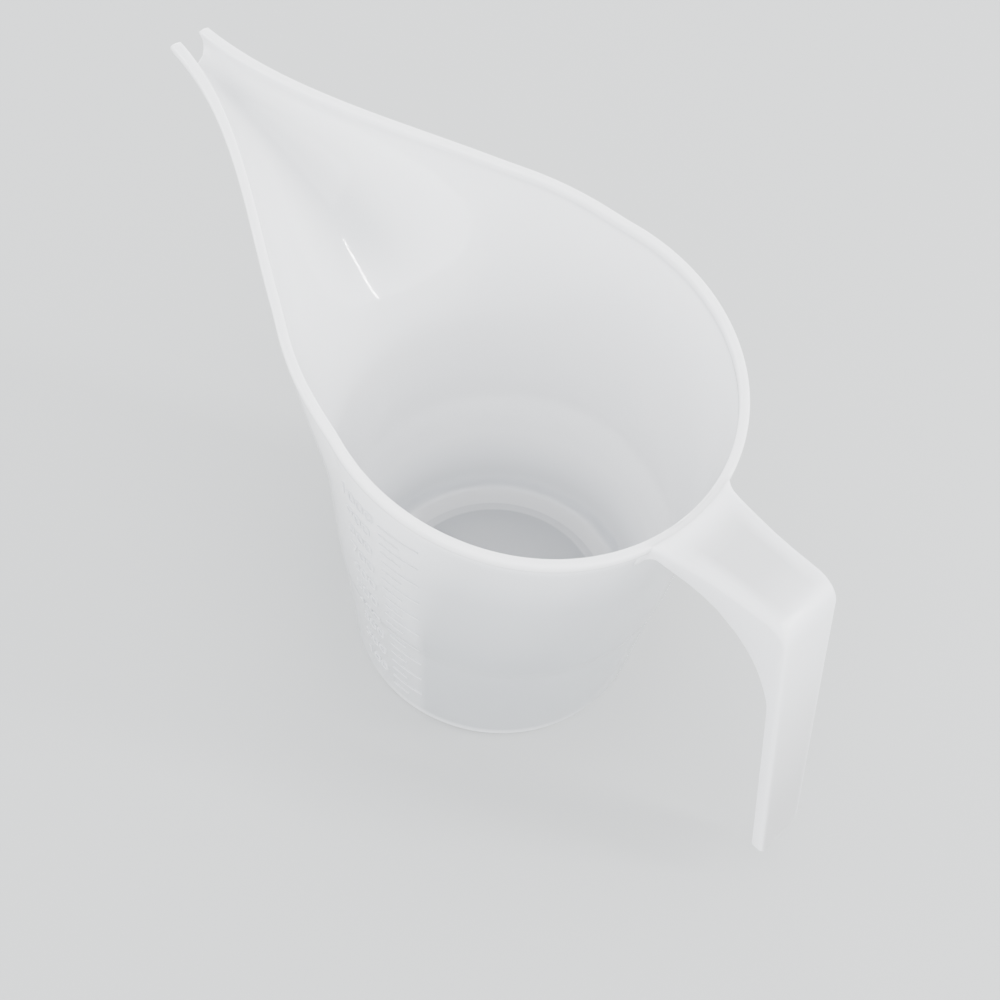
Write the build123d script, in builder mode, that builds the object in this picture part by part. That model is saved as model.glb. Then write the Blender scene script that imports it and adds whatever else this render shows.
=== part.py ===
from build123d import *
import os
from math import atan2, cos, degrees, pi, radians, sin, sqrt, tan

os.makedirs("parts", exist_ok=True)

# A one-litre long-spouted measuring jug, moulded in translucent polypropylene.
# Origin: centre of the foot, on the surface it stands on. +Z is up, the spout points along +X
# and the handle is on the -X side. All sizes are in millimetres.

# Cup: a tapered wall with a small step, the shoulder, that keeps stacked jugs from jamming
WALL = 1.25
BASE_RADIUS = 49.5
LOWER_TAPER = 0.065
SHOULDER_Z = 51.5
SHOULDER_HEIGHT = 5.0
SHOULDER_STEP = 1.2
UPPER_TAPER = 0.062

# Foot ring and floor: the middle of the floor is raised
FOOT_HEIGHT = 3.0
FOOT_INNER_RADIUS = 39.0
FOOT_EDGE_RADIUS = 2.0
FLOOR_THICKNESS = 1.6
FLOOR_RAISE = 0.8
FLOOR_DISC_RADIUS = 36.0
FLOOR_FILLET = 4.0

# Rim: its plane rises from the handle to the tip of the spout
RIM_BACK_RADIUS = 59.4
RIM_BACK_Z = 128.2
RIM_RISE = 0.1215
BEAD_HEIGHT = 3.5
BEAD_OUT = 0.85

# Spout: a half funnel that narrows to a small open gutter
SPOUT_LENGTH = 145.0
SPOUT_RUN_OUT = 150.5
SPOUT_ROOT_HALF_WIDTH = 58.0
SPOUT_TIP_HALF_WIDTH = 5.7
SPOUT_TIP_DEPTH = 9.8
SPOUT_ROOT_DEPTH = 127.0
SPOUT_DEPTH_POWER = 3
SPOUT_RAKE = 18.0
SPOUT_STATIONS = 10
SEAM_RIM_X = 23.0
SEAM_KEEL_X = 56.0
SEAM_KEEL_Z = 88.0

# Handle: an open-ended channel with a top plate, a bend, a back plate and two flanges
PLATE = 2.0
FLANGE = 1.8
HANDLE_RISE = 3.0
HANDLE_CORNER_X = -96.4
HANDLE_CORNER_RADIUS = 7.2
HANDLE_LEAN = 13.2
HANDLE_BOTTOM_Z = 17.5
HANDLE_ROOT_X = -44.0
GRIP_RUN = 150.0
FLANGE_DEPTH = 3.8
ARCH_ROOT_DEPTH = 5.0
ARCH_SLOPE = 14.0
ARCH_RADIUS = 37.0
ROOT_HALF_WIDTH = 15.0
NECK_HALF_WIDTH = 11.3
NECK_X = -86.5
END_HALF_WIDTH = 9.5
END_CORNER_RADIUS = 3.0

# Scale, raised from the outside of the wall on the +Y side
RAISE = 0.35
FULL_SCALE_ML = 1000
SCALE_LINES = 20
LINE_HEIGHT = 0.7
LINE_START_ANGLE = 92.0
MAJOR_LINE_ANGLE = 13.0
MINOR_LINE_ANGLE = 7.0
NUMERAL_ANGLE = 83.5
NUMERAL_HEIGHT = 4.4
NUMERAL_WIDTH = 2.5
NUMERAL_PITCH = 3.7
NUMERAL_STROKE = 0.65
NUMERAL_REACH = 14.0

TOP = 170.0
SHOULDER_TOP = SHOULDER_Z + SHOULDER_HEIGHT
FLOOR_Z = FOOT_HEIGHT + FLOOR_THICKNESS


def rim_z(x):
    """Height of the rim plane."""
    return RIM_BACK_Z + RIM_RISE * (x + RIM_BACK_RADIUS)


def outer_radius(z):
    """Outer radius of the cup at a height."""
    below = BASE_RADIUS + LOWER_TAPER * min(z, SHOULDER_Z)
    step = SHOULDER_STEP * min(max(z - SHOULDER_Z, 0) / SHOULDER_HEIGHT, 1)
    return below + step + UPPER_TAPER * max(z - SHOULDER_TOP, 0)


def spout_half_width(x):
    """Half width of the spout at the rim."""
    swell = (1 + cos(pi * x / SPOUT_RUN_OUT)) / 2
    return SPOUT_TIP_HALF_WIDTH + (SPOUT_ROOT_HALF_WIDTH - SPOUT_TIP_HALF_WIDTH) * swell


def spout_depth(x):
    """Depth of the spout's keel below the rim."""
    run = (SPOUT_RUN_OUT - x) / SPOUT_RUN_OUT
    return SPOUT_TIP_DEPTH + SPOUT_ROOT_DEPTH * run**SPOUT_DEPTH_POWER


def spout_y(x, z, grow):
    """Half width of the spout's surface at a height, or zero below its keel."""
    drop = min(max((rim_z(x) - z) / (spout_depth(x) + grow), 0), 1)
    return (spout_half_width(x) + grow) * sqrt(1 - drop**2)


def spout_section(x, grow):
    """Half-elliptical section of the spout across X, carried straight up past the rim."""
    half = spout_half_width(x) + grow
    centre = (0, rim_z(x))
    with BuildSketch(Plane.YZ.offset(x)) as section:
        with BuildLine():
            bowl = EllipticalCenterArc(centre, half, spout_depth(x) + grow, start_angle=180, arc_size=180)
            Polyline(bowl @ 1, (half, TOP), (-half, TOP), bowl @ 0)
        make_face()
    return section.sketch


def vessel(grow, bottom):
    """Solid of the cup with its spout, its surface moved out by grow."""
    with BuildPart() as form:
        with BuildSketch(Plane.XZ):
            with BuildLine():
                Polyline(
                    (0, bottom),
                    (outer_radius(bottom) + grow, bottom),
                    (outer_radius(SHOULDER_Z) + grow, SHOULDER_Z),
                    (outer_radius(SHOULDER_TOP) + grow, SHOULDER_TOP),
                    (outer_radius(TOP) + grow, TOP),
                    (0, TOP),
                    close=True,
                )
            make_face()
        revolve(axis=Axis.Z)
        pitch = SPOUT_RUN_OUT / (SPOUT_STATIONS - 1)
        add(loft([spout_section(pitch * step, grow) for step in range(SPOUT_STATIONS)], mode=Mode.PRIVATE))
    return form.part


outside = vessel(0, 0)
inside = vessel(-WALL, FLOOR_Z)
rim_plane = Plane(origin=(0, 0, rim_z(0)), z_dir=(-RIM_RISE, 0, 1))
under_bead = rim_plane.offset(-BEAD_HEIGHT)
tip_plane = Plane(
    origin=(SPOUT_LENGTH, 0, rim_z(SPOUT_LENGTH)),
    z_dir=(cos(radians(SPOUT_RAKE)), 0, -sin(radians(SPOUT_RAKE))),
)
seam_run = SEAM_KEEL_X - SEAM_RIM_X
seam_drop = rim_z(SEAM_RIM_X) - SEAM_KEEL_Z
seam_plane = Plane(origin=(SEAM_KEEL_X, 0, SEAM_KEEL_Z), z_dir=(seam_drop, 0, seam_run))

# Foot ring: the solid ring that the jug stands on, rounded at its outer edge
with BuildPart() as foot_ring:
    with BuildSketch(Plane.XZ):
        with BuildLine():
            Polyline(
                (outer_radius(FOOT_EDGE_RADIUS), FOOT_EDGE_RADIUS),
                (outer_radius(FOOT_HEIGHT), FOOT_HEIGHT),
                (FOOT_INNER_RADIUS, FOOT_HEIGHT),
                (FOOT_INNER_RADIUS, 0),
                (BASE_RADIUS - FOOT_EDGE_RADIUS, 0),
            )
            TangentArc(
                (BASE_RADIUS - FOOT_EDGE_RADIUS, 0),
                (outer_radius(FOOT_EDGE_RADIUS), FOOT_EDGE_RADIUS),
                tangent=(1, 0),
            )
        make_face()
    revolve(axis=Axis.Z)
foot_ring.part.label = "foot_ring"
export_step(foot_ring.part, "parts/foot_ring.step")

# Floor: a thin plate with a raised middle and a fillet up to the wall
with BuildPart() as cup_floor:
    with BuildSketch(Plane.XZ):
        with BuildLine():
            edge = outer_radius(FLOOR_Z + FLOOR_FILLET) - WALL
            Polyline(
                (edge, FLOOR_Z + FLOOR_FILLET),
                (outer_radius(FOOT_HEIGHT) - WALL, FOOT_HEIGHT),
                (FOOT_INNER_RADIUS, FOOT_HEIGHT),
                (FLOOR_DISC_RADIUS, FOOT_HEIGHT + FLOOR_RAISE),
                (0, FOOT_HEIGHT + FLOOR_RAISE),
                (0, FLOOR_Z + FLOOR_RAISE),
                (FLOOR_DISC_RADIUS, FLOOR_Z + FLOOR_RAISE),
                (FOOT_INNER_RADIUS, FLOOR_Z),
                (edge - FLOOR_FILLET, FLOOR_Z),
            )
            TangentArc((edge - FLOOR_FILLET, FLOOR_Z), (edge, FLOOR_Z + FLOOR_FILLET), tangent=(1, 0))
        make_face()
    revolve(axis=Axis.Z)
cup_floor.part.label = "cup_floor"
export_step(cup_floor.part, "parts/cup_floor.step")

# Wall below the shoulder
with BuildPart() as lower_wall:
    with BuildSketch(Plane.XZ):
        with BuildLine():
            Polyline(
                (outer_radius(FOOT_HEIGHT), FOOT_HEIGHT),
                (outer_radius(SHOULDER_Z), SHOULDER_Z),
                (outer_radius(SHOULDER_Z) - WALL, SHOULDER_Z),
                (outer_radius(FOOT_HEIGHT) - WALL, FOOT_HEIGHT),
                close=True,
            )
        make_face()
    revolve(axis=Axis.Z)
lower_wall.part.label = "lower_wall"
export_step(lower_wall.part, "parts/lower_wall.step")

# Shoulder: the step outwards round the cup
with BuildPart() as shoulder:
    with BuildSketch(Plane.XZ):
        with BuildLine():
            Polyline(
                (outer_radius(SHOULDER_Z), SHOULDER_Z),
                (outer_radius(SHOULDER_TOP), SHOULDER_TOP),
                (outer_radius(SHOULDER_TOP) - WALL, SHOULDER_TOP),
                (outer_radius(SHOULDER_Z) - WALL, SHOULDER_Z),
                close=True,
            )
        make_face()
    revolve(axis=Axis.Z)
shoulder.part.label = "shoulder"
export_step(shoulder.part, "parts/shoulder.step")

# Wall above the shoulder, open where the spout begins
with BuildPart() as upper_wall:
    add(outside)
    add(inside, mode=Mode.SUBTRACT)
    split(bisect_by=Plane.XY.offset(SHOULDER_TOP), keep=Keep.TOP)
    split(bisect_by=rim_plane, keep=Keep.BOTTOM)
    split(bisect_by=seam_plane, keep=Keep.BOTTOM)
upper_wall.part.label = "upper_wall"
export_step(upper_wall.part, "parts/upper_wall.step")

# Spout, with its end cut back from the rim to the keel
with BuildPart() as spout:
    add(outside)
    add(inside, mode=Mode.SUBTRACT)
    split(bisect_by=Plane.XY.offset(SHOULDER_TOP), keep=Keep.TOP)
    split(bisect_by=rim_plane, keep=Keep.BOTTOM)
    split(bisect_by=seam_plane, keep=Keep.TOP)
    split(bisect_by=tip_plane, keep=Keep.BOTTOM)
spout.part.label = "spout"
export_step(spout.part, "parts/spout.step")

# Bead that stiffens the rim of the cup and the spout
with BuildPart() as rim_bead:
    add(vessel(BEAD_OUT, 0))
    add(outside, mode=Mode.SUBTRACT)
    split(bisect_by=rim_plane, keep=Keep.BOTTOM)
    split(bisect_by=under_bead, keep=Keep.TOP)
    split(bisect_by=tip_plane, keep=Keep.BOTTOM)
rim_bead.part.label = "rim_bead"
export_step(rim_bead.part, "parts/rim_bead.step")

# Handle: drawn from the side, then cut to its width seen from above
rise = radians(HANDLE_RISE)
lean = radians(HANDLE_LEAN)
top_inward = Vector(-sin(rise), -cos(rise))
grip_inward = Vector(cos(lean), -sin(lean))
corner = Vector(HANDLE_CORNER_X, RIM_BACK_Z - tan(rise) * (RIM_BACK_RADIUS + HANDLE_CORNER_X))
root = corner + Vector(cos(rise), -sin(rise)) * (HANDLE_ROOT_X - HANDLE_CORNER_X)
grip_end = corner - Vector(sin(lean), cos(lean)) * GRIP_RUN
arch_start = Vector(-RIM_BACK_RADIUS, RIM_BACK_Z - ARCH_ROOT_DEPTH)
arch_fall = Vector(-cos(radians(ARCH_SLOPE)), -sin(radians(ARCH_SLOPE)))
bend_reach = HANDLE_CORNER_RADIUS * tan(radians(90 + HANDLE_RISE - HANDLE_LEAN) / 2)
bend_start = corner + Vector(cos(rise), -sin(rise)) * bend_reach
bend_end = corner - Vector(sin(lean), cos(lean)) * bend_reach
before_bend = Plane(origin=(bend_start.X, 0, bend_start.Y), z_dir=(cos(rise), 0, -sin(rise)))
after_bend = Plane(origin=(bend_end.X, 0, bend_end.Y), z_dir=(sin(lean), 0, cos(lean)))
grip_foot = Plane.XY.offset(HANDLE_BOTTOM_Z)


def side_face(depth):
    """Side face of all that lies under the handle's outer line, moved in by depth."""
    inner_corner = corner + (top_inward + grip_inward) * (depth / (1 + top_inward.dot(grip_inward)))
    start = root + top_inward * depth
    end = grip_end + grip_inward * depth
    with BuildSketch(Plane.XZ) as face:
        with BuildLine():
            FilletPolyline(start, inner_corner, end, radius=HANDLE_CORNER_RADIUS - depth)
            Polyline(end, (root.X, end.Y), start)
        make_face()
    return face.sketch


def finger_room():
    """Side face of the open space under the flanges."""
    with BuildSketch(Plane.XZ) as face:
        with BuildLine():
            end = grip_end + grip_inward * FLANGE_DEPTH
            grip_line = Line(end, corner + grip_inward * FLANGE_DEPTH, mode=Mode.PRIVATE)
            arch_line = IntersectingLine(arch_start, arch_fall, grip_line, mode=Mode.PRIVATE)
            start = arch_start - arch_fall * (root.X + RIM_BACK_RADIUS)
            FilletPolyline(start, arch_line @ 1, end, radius=ARCH_RADIUS)
            Polyline(end, (start.X, end.Y), start)
        make_face()
    return face.sketch


def handle_half_width(x):
    """Half width of the handle seen from above: flared at the cup, then nearly straight."""
    if x < NECK_X:
        end_x = corner.X - tan(lean) * (corner.Y - HANDLE_BOTTOM_Z)
        return NECK_HALF_WIDTH + (END_HALF_WIDTH - NECK_HALF_WIDTH) * (x - NECK_X) / (end_x - NECK_X)
    flare = (x - NECK_X) / (-RIM_BACK_RADIUS - NECK_X)
    return NECK_HALF_WIDTH + (ROOT_HALF_WIDTH - NECK_HALF_WIDTH) * flare**2


def plan_block(inset):
    """Upright block of the handle's width, narrowed by inset on each side."""
    stations = [root.X, (root.X + NECK_X) / 2, NECK_X]
    flank = [(x, handle_half_width(x) - inset) for x in stations]
    tail = (grip_end.X, handle_half_width(grip_end.X) - inset)
    with BuildPart() as block:
        with BuildSketch():
            with BuildLine():
                Spline(*flank)
                Polyline(flank[-1], tail, (tail[0], 0), (flank[0][0], 0), flank[0])
            make_face()
            mirror(about=Plane.XZ)
        extrude(amount=TOP)
    return block.part


def end_corners():
    """What is cut away to round the two lower corners of the handle, seen from behind."""
    level = HANDLE_BOTTOM_Z + END_CORNER_RADIUS
    tangent_y = END_HALF_WIDTH - END_CORNER_RADIUS
    with BuildPart() as waste:
        with BuildSketch(Plane.YZ.offset(HANDLE_CORNER_X)):
            with BuildLine():
                JernArc((tangent_y, HANDLE_BOTTOM_Z), (1, 0), END_CORNER_RADIUS, 90)
                Polyline(
                    (END_HALF_WIDTH, level),
                    (ROOT_HALF_WIDTH, level),
                    (ROOT_HALF_WIDTH, 0),
                    (tangent_y, 0),
                    (tangent_y, HANDLE_BOTTOM_Z),
                )
            make_face()
            mirror(about=Plane.YZ)
        extrude(amount=HANDLE_ROOT_X - HANDLE_CORNER_X, both=True)
    return waste.part


def handle_strip():
    """The plate that runs from the cup over the bend and down the grip."""
    with BuildPart() as strip:
        with BuildSketch(Plane.XZ):
            add(side_face(0))
            add(side_face(PLATE), mode=Mode.SUBTRACT)
        extrude(amount=ROOT_HALF_WIDTH * 2, both=True)
        add(plan_block(0), mode=Mode.INTERSECT)
        add(outside, mode=Mode.SUBTRACT)
        add(rim_bead.part, mode=Mode.SUBTRACT)
        split(bisect_by=grip_foot, keep=Keep.TOP)
        add(end_corners(), mode=Mode.SUBTRACT)
    return strip.part


with BuildPart() as handle_top_plate:
    add(handle_strip())
    split(bisect_by=before_bend, keep=Keep.TOP)
handle_top_plate.part.label = "handle_top_plate"
export_step(handle_top_plate.part, "parts/handle_top_plate.step")

with BuildPart() as handle_bend:
    add(handle_strip())
    split(bisect_by=before_bend, keep=Keep.BOTTOM)
    split(bisect_by=after_bend, keep=Keep.TOP)
handle_bend.part.label = "handle_bend"
export_step(handle_bend.part, "parts/handle_bend.step")

with BuildPart() as handle_back_plate:
    add(handle_strip())
    split(bisect_by=after_bend, keep=Keep.BOTTOM)
    split(bisect_by=before_bend, keep=Keep.BOTTOM)
handle_back_plate.part.label = "handle_back_plate"
export_step(handle_back_plate.part, "parts/handle_back_plate.step")

# Flanges: one along each edge of the plate, deepest in the corner of the handle
with BuildPart() as flange_pair:
    with BuildSketch(Plane.XZ):
        add(side_face(PLATE))
        add(finger_room(), mode=Mode.SUBTRACT)
    extrude(amount=ROOT_HALF_WIDTH * 2, both=True)
    add(plan_block(0), mode=Mode.INTERSECT)
    add(plan_block(FLANGE), mode=Mode.SUBTRACT)
    add(outside, mode=Mode.SUBTRACT)
    add(rim_bead.part, mode=Mode.SUBTRACT)
    split(bisect_by=grip_foot, keep=Keep.TOP)
    add(end_corners(), mode=Mode.SUBTRACT)

with BuildPart() as handle_flange_left:
    add(flange_pair.part)
    split(bisect_by=Plane.XZ, keep=Keep.BOTTOM)
handle_flange_left.part.label = "handle_flange_left"
export_step(handle_flange_left.part, "parts/handle_flange_left.step")

with BuildPart() as handle_flange_right:
    add(flange_pair.part)
    split(bisect_by=Plane.XZ, keep=Keep.TOP)
handle_flange_right.part.label = "handle_flange_right"
export_step(handle_flange_right.part, "parts/handle_flange_right.step")


# Scale: each mark stands at the height that its volume really fills
def fill_area(z):
    """Area of the liquid's surface at a height below the rim."""
    radius = outer_radius(z) - WALL
    area = pi * radius**2
    for x in range(int(SPOUT_LENGTH)):
        cup_y = max(radius**2 - x**2, 0) ** 0.5
        area += 2 * max(spout_y(x, z, -WALL) - cup_y, 0)
    return area


def fill_heights(count, step_ml):
    """Heights of the liquid for each multiple of a volume."""
    heights = []
    z = FLOOR_Z + FLOOR_RAISE
    volume = 0
    slice_height = 0.25
    while len(heights) < count:
        volume += fill_area(z) * slice_height
        z += slice_height
        if volume >= (len(heights) + 1) * step_ml * 1000:
            heights.append(z)
    return heights


def wall_plane(angle):
    """Upright plane through the cup's axis, for a radial section at an angle."""
    turn = radians(angle)
    return Plane(origin=(0, 0, 0), x_dir=(cos(turn), sin(turn), 0), z_dir=(sin(turn), -cos(turn), 0))


def wall_band(low, high, proud):
    """Corners of a band that lies on the wall between two heights, seen in a radial section."""
    return [
        (outer_radius(low), low),
        (outer_radius(low) + proud, low),
        (outer_radius(high) + proud, high),
        (outer_radius(high), high),
    ]


heights = fill_heights(SCALE_LINES, FULL_SCALE_ML / SCALE_LINES)

with BuildPart() as scale_lines:
    for index, z in enumerate(heights):
        arc = MAJOR_LINE_ANGLE if index % 2 else MINOR_LINE_ANGLE
        with BuildSketch(wall_plane(LINE_START_ANGLE)):
            with BuildLine():
                Polyline(*wall_band(z - LINE_HEIGHT / 2, z + LINE_HEIGHT / 2, RAISE), close=True)
            make_face()
        revolve(axis=Axis.Z, revolution_arc=arc)
scale_lines.part.label = "scale_lines"
export_step(scale_lines.part, "parts/scale_lines.step")


def straight(start, end):
    """Straight round-ended stroke of a numeral."""
    run = Vector(*end) - Vector(*start)
    with Locations((Vector(*start) + Vector(*end)) / 2):
        SlotCenterToCenter(run.length, NUMERAL_STROKE, rotation=degrees(atan2(run.Y, run.X)))


def bow(centre, radius, start_angle, sweep):
    """Curved round-ended stroke of a numeral."""
    SlotArc(CenterArc(centre, radius, start_angle, sweep, mode=Mode.PRIVATE), NUMERAL_STROKE)


def draw_digit(character):
    """One numeral, drawn in strokes up to the numeral's width and height."""
    w = NUMERAL_WIDTH
    h = NUMERAL_HEIGHT
    r = w / 2
    small = (h - w) / 2
    tall = h - r
    if character == "0":
        bow((r, tall), r, 0, 180)
        bow((r, r), r, 180, 180)
        straight((0, r), (0, tall))
        straight((w, r), (w, tall))
    elif character == "1":
        straight((w / 5, h - r * 0.7), (w / 2, h))
        straight((w / 2, h), (w / 2, 0))
    elif character == "2":
        bow((r, tall), r, -40, 200)
        straight((r * 1.77, tall - r * 0.64), (0, 0))
        straight((0, 0), (w, 0))
    elif character == "3":
        bow((r, h - small), small, -90, 240)
        bow((r, r), r, -150, 240)
    elif character == "4":
        straight((w * 0.75, 0), (w * 0.75, h))
        straight((w * 0.75, h), (0, h * 0.3))
        straight((0, h * 0.3), (w, h * 0.3))
    elif character == "5":
        straight((w, h), (w * 0.2, h))
        straight((w * 0.2, h), (r * 0.29, r * 1.71))
        bow((r, r), r, -135, 270)
    elif character == "6":
        bow((r, r), r, 0, 180)
        bow((r, r), r, 180, 180)
        bow((tall, r), tall, 110, 70)
    elif character == "7":
        straight((0, h), (w, h))
        straight((w, h), (w * 0.35, 0))
    elif character == "8":
        bow((r, r), r, 0, 180)
        bow((r, r), r, 180, 180)
        bow((r, h - small), small, 0, 180)
        bow((r, h - small), small, 180, 180)
    elif character == "9":
        bow((r, tall), r, 0, 180)
        bow((r, tall), r, 180, 180)
        bow((w - tall, tall), tall, -70, 70)


def numeral_plane(z, offset_across):
    """Plane that touches the wall at a numeral's lower left corner."""
    turn = radians(NUMERAL_ANGLE)
    across = Vector(-sin(turn), cos(turn), 0)
    outward = Vector(cos(turn), sin(turn), 0)
    corner_point = outward * (outer_radius(z) - 1) + across * offset_across + Vector(0, 0, z)
    return Plane(origin=corner_point, x_dir=across, z_dir=outward)


# A thin skin on the wall, as thick as the numerals stand proud of it
with BuildPart() as skin:
    with BuildSketch(wall_plane(NUMERAL_ANGLE - NUMERAL_REACH)):
        with BuildLine():
            levels = (FOOT_HEIGHT, SHOULDER_Z, SHOULDER_TOP, RIM_BACK_Z)
            face_line = [(outer_radius(level), level) for level in levels]
            proud_line = [(outer_radius(level) + RAISE, level) for level in levels]
            Polyline(*face_line, *proud_line[::-1], close=True)
        make_face()
    revolve(axis=Axis.Z, revolution_arc=2 * NUMERAL_REACH)


def numeral(text, z):
    """One raised number, centred on a height."""
    with BuildPart() as block:
        for place, character in enumerate(text):
            left = NUMERAL_PITCH * (place - len(text) / 2)
            with BuildSketch(mode=Mode.PRIVATE) as flat_digit:
                draw_digit(character)
            with BuildSketch(numeral_plane(z - NUMERAL_HEIGHT / 2, left)):
                add(flat_digit.sketch)
        extrude(amount=NUMERAL_PITCH)
        add(skin.part, mode=Mode.INTERSECT)
    return block.part


with BuildPart() as scale_numerals:
    for index in range(1, SCALE_LINES, 2):
        add(numeral(str(FULL_SCALE_ML * (index + 1) // SCALE_LINES), heights[index]))
scale_numerals.part.label = "scale_numerals"
export_step(scale_numerals.part, "parts/scale_numerals.step")
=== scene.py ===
import math

import bmesh
import bpy
import numpy as np
from mathutils import Matrix, Vector


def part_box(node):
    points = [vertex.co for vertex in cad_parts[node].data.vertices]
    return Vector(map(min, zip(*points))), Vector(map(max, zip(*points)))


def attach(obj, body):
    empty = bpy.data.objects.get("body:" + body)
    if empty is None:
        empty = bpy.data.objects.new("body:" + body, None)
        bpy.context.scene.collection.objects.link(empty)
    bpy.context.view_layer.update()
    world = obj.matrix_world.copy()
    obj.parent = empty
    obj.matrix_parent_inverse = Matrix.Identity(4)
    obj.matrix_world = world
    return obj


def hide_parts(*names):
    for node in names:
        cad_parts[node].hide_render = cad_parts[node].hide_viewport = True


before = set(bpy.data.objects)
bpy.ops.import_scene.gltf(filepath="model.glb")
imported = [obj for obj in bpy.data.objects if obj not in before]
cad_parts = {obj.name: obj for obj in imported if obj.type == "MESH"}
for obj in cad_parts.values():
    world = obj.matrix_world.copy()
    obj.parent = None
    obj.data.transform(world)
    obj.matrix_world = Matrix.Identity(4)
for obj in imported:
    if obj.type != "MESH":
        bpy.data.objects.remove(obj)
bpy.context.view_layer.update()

# A one-litre long-spouted measuring jug in translucent polypropylene.
# Shapes are worked out in millimetres, in the CAD frame, and become metres when a mesh is made:
# +Z is up, the spout points along +X, the handle is on the -X side and the scale on the +Y side.
MM = 0.001
CREASE = 0.4  # how far from an edge the rows on each side of it lie, which keeps the edge crisp

# Cup. The shoulder is the small step in the wall on which a second jug would rest when stacked.
WALL = 1.25
BASE_RADIUS = 49.5
LOWER_TAPER = 0.065
SHOULDER_Z = 51.5
SHOULDER_HEIGHT = 5.0
SHOULDER_TOP = SHOULDER_Z + SHOULDER_HEIGHT
SHOULDER_STEP = 1.2
UPPER_TAPER = 0.062
SHOULDER_EASING = 1.0  # how far beyond the shoulder its step is spread, outside
INSIDE_EASING = 30.0  # the same, inside

# Foot and floor
FOOT_HEIGHT = 3.0
FOOT_INNER_RADIUS = 39.0
FOOT_EDGE_RADIUS = 2.0
FOOT_FLAT = 2.0  # from the foot's inner radius to the row that keeps its underside flat
FLOOR_Z = 4.6
FLOOR_RAISE = 0.8
FLOOR_DISC_RADIUS = 36.0
FLOOR_FILLET = 4.0
UNDER_EDGE_DROP = 0.1  # how far the rows beside the floor's edges stay off its level, to round them
FLOOR_EDGE_RISE = 0.05
FLOOR_EDGE_DROP = 0.08
DISC_RADII = (FLOOR_DISC_RADIUS - CREASE, 30, 20, 10, 3, 0)

# Rim and its bead
RIM_BACK_RADIUS = 59.4
RIM_BACK_Z = 128.2
RIM_RISE = 0.1215
BEAD_PROFILE = (  # drop below the rim, how far the outside stands out, how far the inside lies in
    (0.0, 0.10, 1.15),
    (0.1, 0.34, 1.50),
    (0.35, 0.57, 1.75),
    (0.8, 0.75, 1.95),
    (1.5, 0.85, 2.0),
    (2.3, 0.85, 1.92),
    (2.8, 0.79, 1.82),
    (3.1, 0.65, 1.73),
    (3.4, 0.42, 1.62),
    (3.8, 0.18, 1.48),
    (4.4, 0.03, 1.33),
    (5.2, 0.0, WALL),
    (6.6, 0.0, WALL),
    (8.2, 0.0, WALL),
)
BEAD_BOTTOM = 3.2
BEAD_ROWS = 9  # how many rows of the profile look as dense as the bead
LIP_GROWTH_START_X = 90.0
LIP_GROWTH_AT_TIP = 0.7

# Spout
SPOUT_LENGTH = 145.0
SPOUT_RUN_OUT = 150.5  # where the curves of the spout's width and depth would end
SPOUT_ROOT_HALF_WIDTH = 58.0
SPOUT_TIP_HALF_WIDTH = 5.7
SPOUT_TIP_DEPTH = 9.8
SPOUT_ROOT_DEPTH = 127.0
SPOUT_RAKE = math.radians(18)
TIP_CORNER_RADIUS = 2.5
TIP_ROUNDING = 0.35
KEEL_ROOT_X = 57.0
BLEND = 12.0  # reach of the blend between the cup and the spout, where it is full
BLEND_START_X = 14.0
BLEND_FULL_X = 50.0

# How finely the shell is divided, and how exactly
BACK_COLUMNS = 48
FRONT_COLUMNS = 140
NOSE_CROWDING = 0.65  # how much closer together the columns are at the front
KEEL_ROWS = 40
SIDE_ROWS = 16
SIDE_RUN = 60.0  # about how far the side rows run down to the shoulder
OUTSIDE_ROWS = 14
OUTSIDE_ROWS_START = 3.0  # below the shoulder
INSIDE_ROWS = 24
ROWS_END = 0.5  # above the foot's rounded edge, and above the floor's fillet
FOOT_EDGE_POINTS = 7
FILLET_POINTS = 8
OUTLINE_SAMPLES = 400
SURFACE_STEPS = 6  # rounds in which a point is brought onto the surface
SLOPE_STEP = 0.01
NOT_ZERO = 1e-6  # keeps the blend's reach from being nothing
JOIN_DISTANCE = 0.0008

# How white the shell's colour is, from 0 to 1, by place on the shell: partly how dense the plastic is,
# partly painted shade
# The floor's disc is thinner plastic, and painted darker for the shade of the ground seen through it
DISC_MILK_AND_SHADE = 0.25
STEP_MILKINESS = 0.74
FLOOR_MARGIN = 0.1  # how far around the floor's disc and step their values reach
# Inside: painted shade, darkest in a band low on the wall just above the floor's fillet
INSIDE_MILK_AND_SHADE = (  # height, value
    (4.6, 1.0),
    (4.7, 0.75),
    (5.0, 0.52),
    (5.6, 0.42),
    (8.0, 0.27),
    (12, 0.24),
    (17, 0.38),
    (24, 0.6),
    (34, 0.88),
    (60, 1.0),
)
# Outside: painted shade on the lower wall, darker further below the bead
OUTSIDE_MILK_AND_SHADE = ((4.0, 0.8), (7.0, 0.35), (30, 0.12), (80, 0.0))  # drop below the rim, value
FOOT_MILKINESS = ((2.5, 0.8), (5.5, 0.0))  # height, value
SCALE_SIDE = (25, 40, 105)  # azimuths in degrees: where the lighter side starts, is full and ends
SCALE_SIDE_SOFTNESS = ((60, 1.0), (120, 16.0))  # height, degrees by which it fades around its end
SCALE_SIDE_MILKINESS = ((40, 0.2), (60, 0.28), (90, 0.42), (120, 0.52))  # height, what that side adds
# Painted shade along the spout's valley, in a strip a little off the keel
KEEL_SHADE = 0.55
KEEL_SHADE_SHIFT = 0.15  # share of the half width by which the painted shade strip lies off the keel
KEEL_SHADE_STRIP = (0.05, 0.6)  # shares of the half width from its middle: where it fades and is gone
KEEL_SHADE_START = (50, 78)  # along x: where the strip begins and is full
KEEL_SHADE_END = (126, 142)  # along x: where it fades and is gone

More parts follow.
